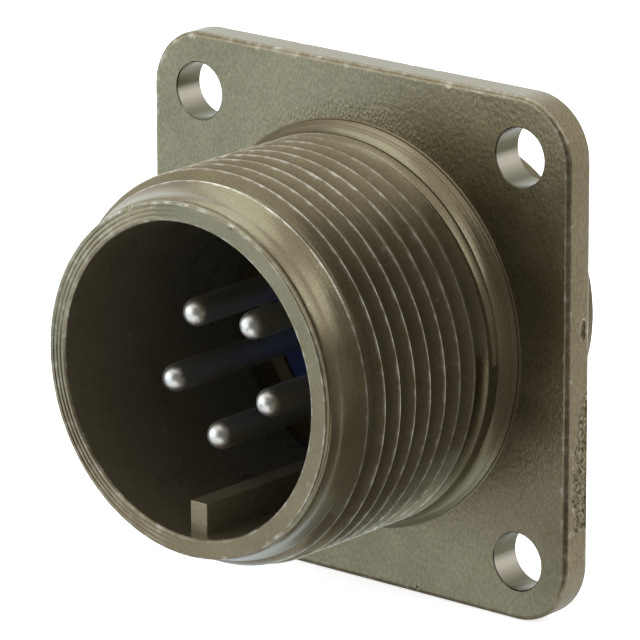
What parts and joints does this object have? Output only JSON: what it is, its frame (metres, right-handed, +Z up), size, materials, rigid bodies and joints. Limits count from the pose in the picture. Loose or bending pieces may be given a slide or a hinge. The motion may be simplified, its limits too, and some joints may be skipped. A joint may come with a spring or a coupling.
{
  "type": "circular connector receptacle",
  "caption": "Square-flange circular connector receptacle with a threaded barrel, a keyed bore, a ring of round-nosed pins and solder cups behind.",
  "frame": {"origin": "centre of the flange's rear face, where it meets the panel, on the axis of the barrel", "axes": "+Z up with the polarising key lowest, -Y out of the mouth towards the mating plug, +Y behind the panel"},
  "size_m": [0.0298, 0.0254, 0.0298],
  "materials": {
    "shell_plating": "olive drab chromate over cadmium on cast and turned aluminium, satin",
    "insulator_moulding": "moulded dark blue thermoset",
    "contact_plating": "silver plated copper alloy",
    "ring_steel": "spring steel, phosphated"
  },
  "bodies": {
    "root": {"shell": "shell_plating", "front_insulator": "insulator_moulding", "rear_insulator": "insulator_moulding", "retaining_ring": "ring_steel", "pin_contact_1": "contact_plating", "pin_contact_2": "contact_plating", "pin_contact_3": "contact_plating", "pin_contact_4": "contact_plating", "pin_contact_5": "contact_plating"}
  },
  "joints": []
}
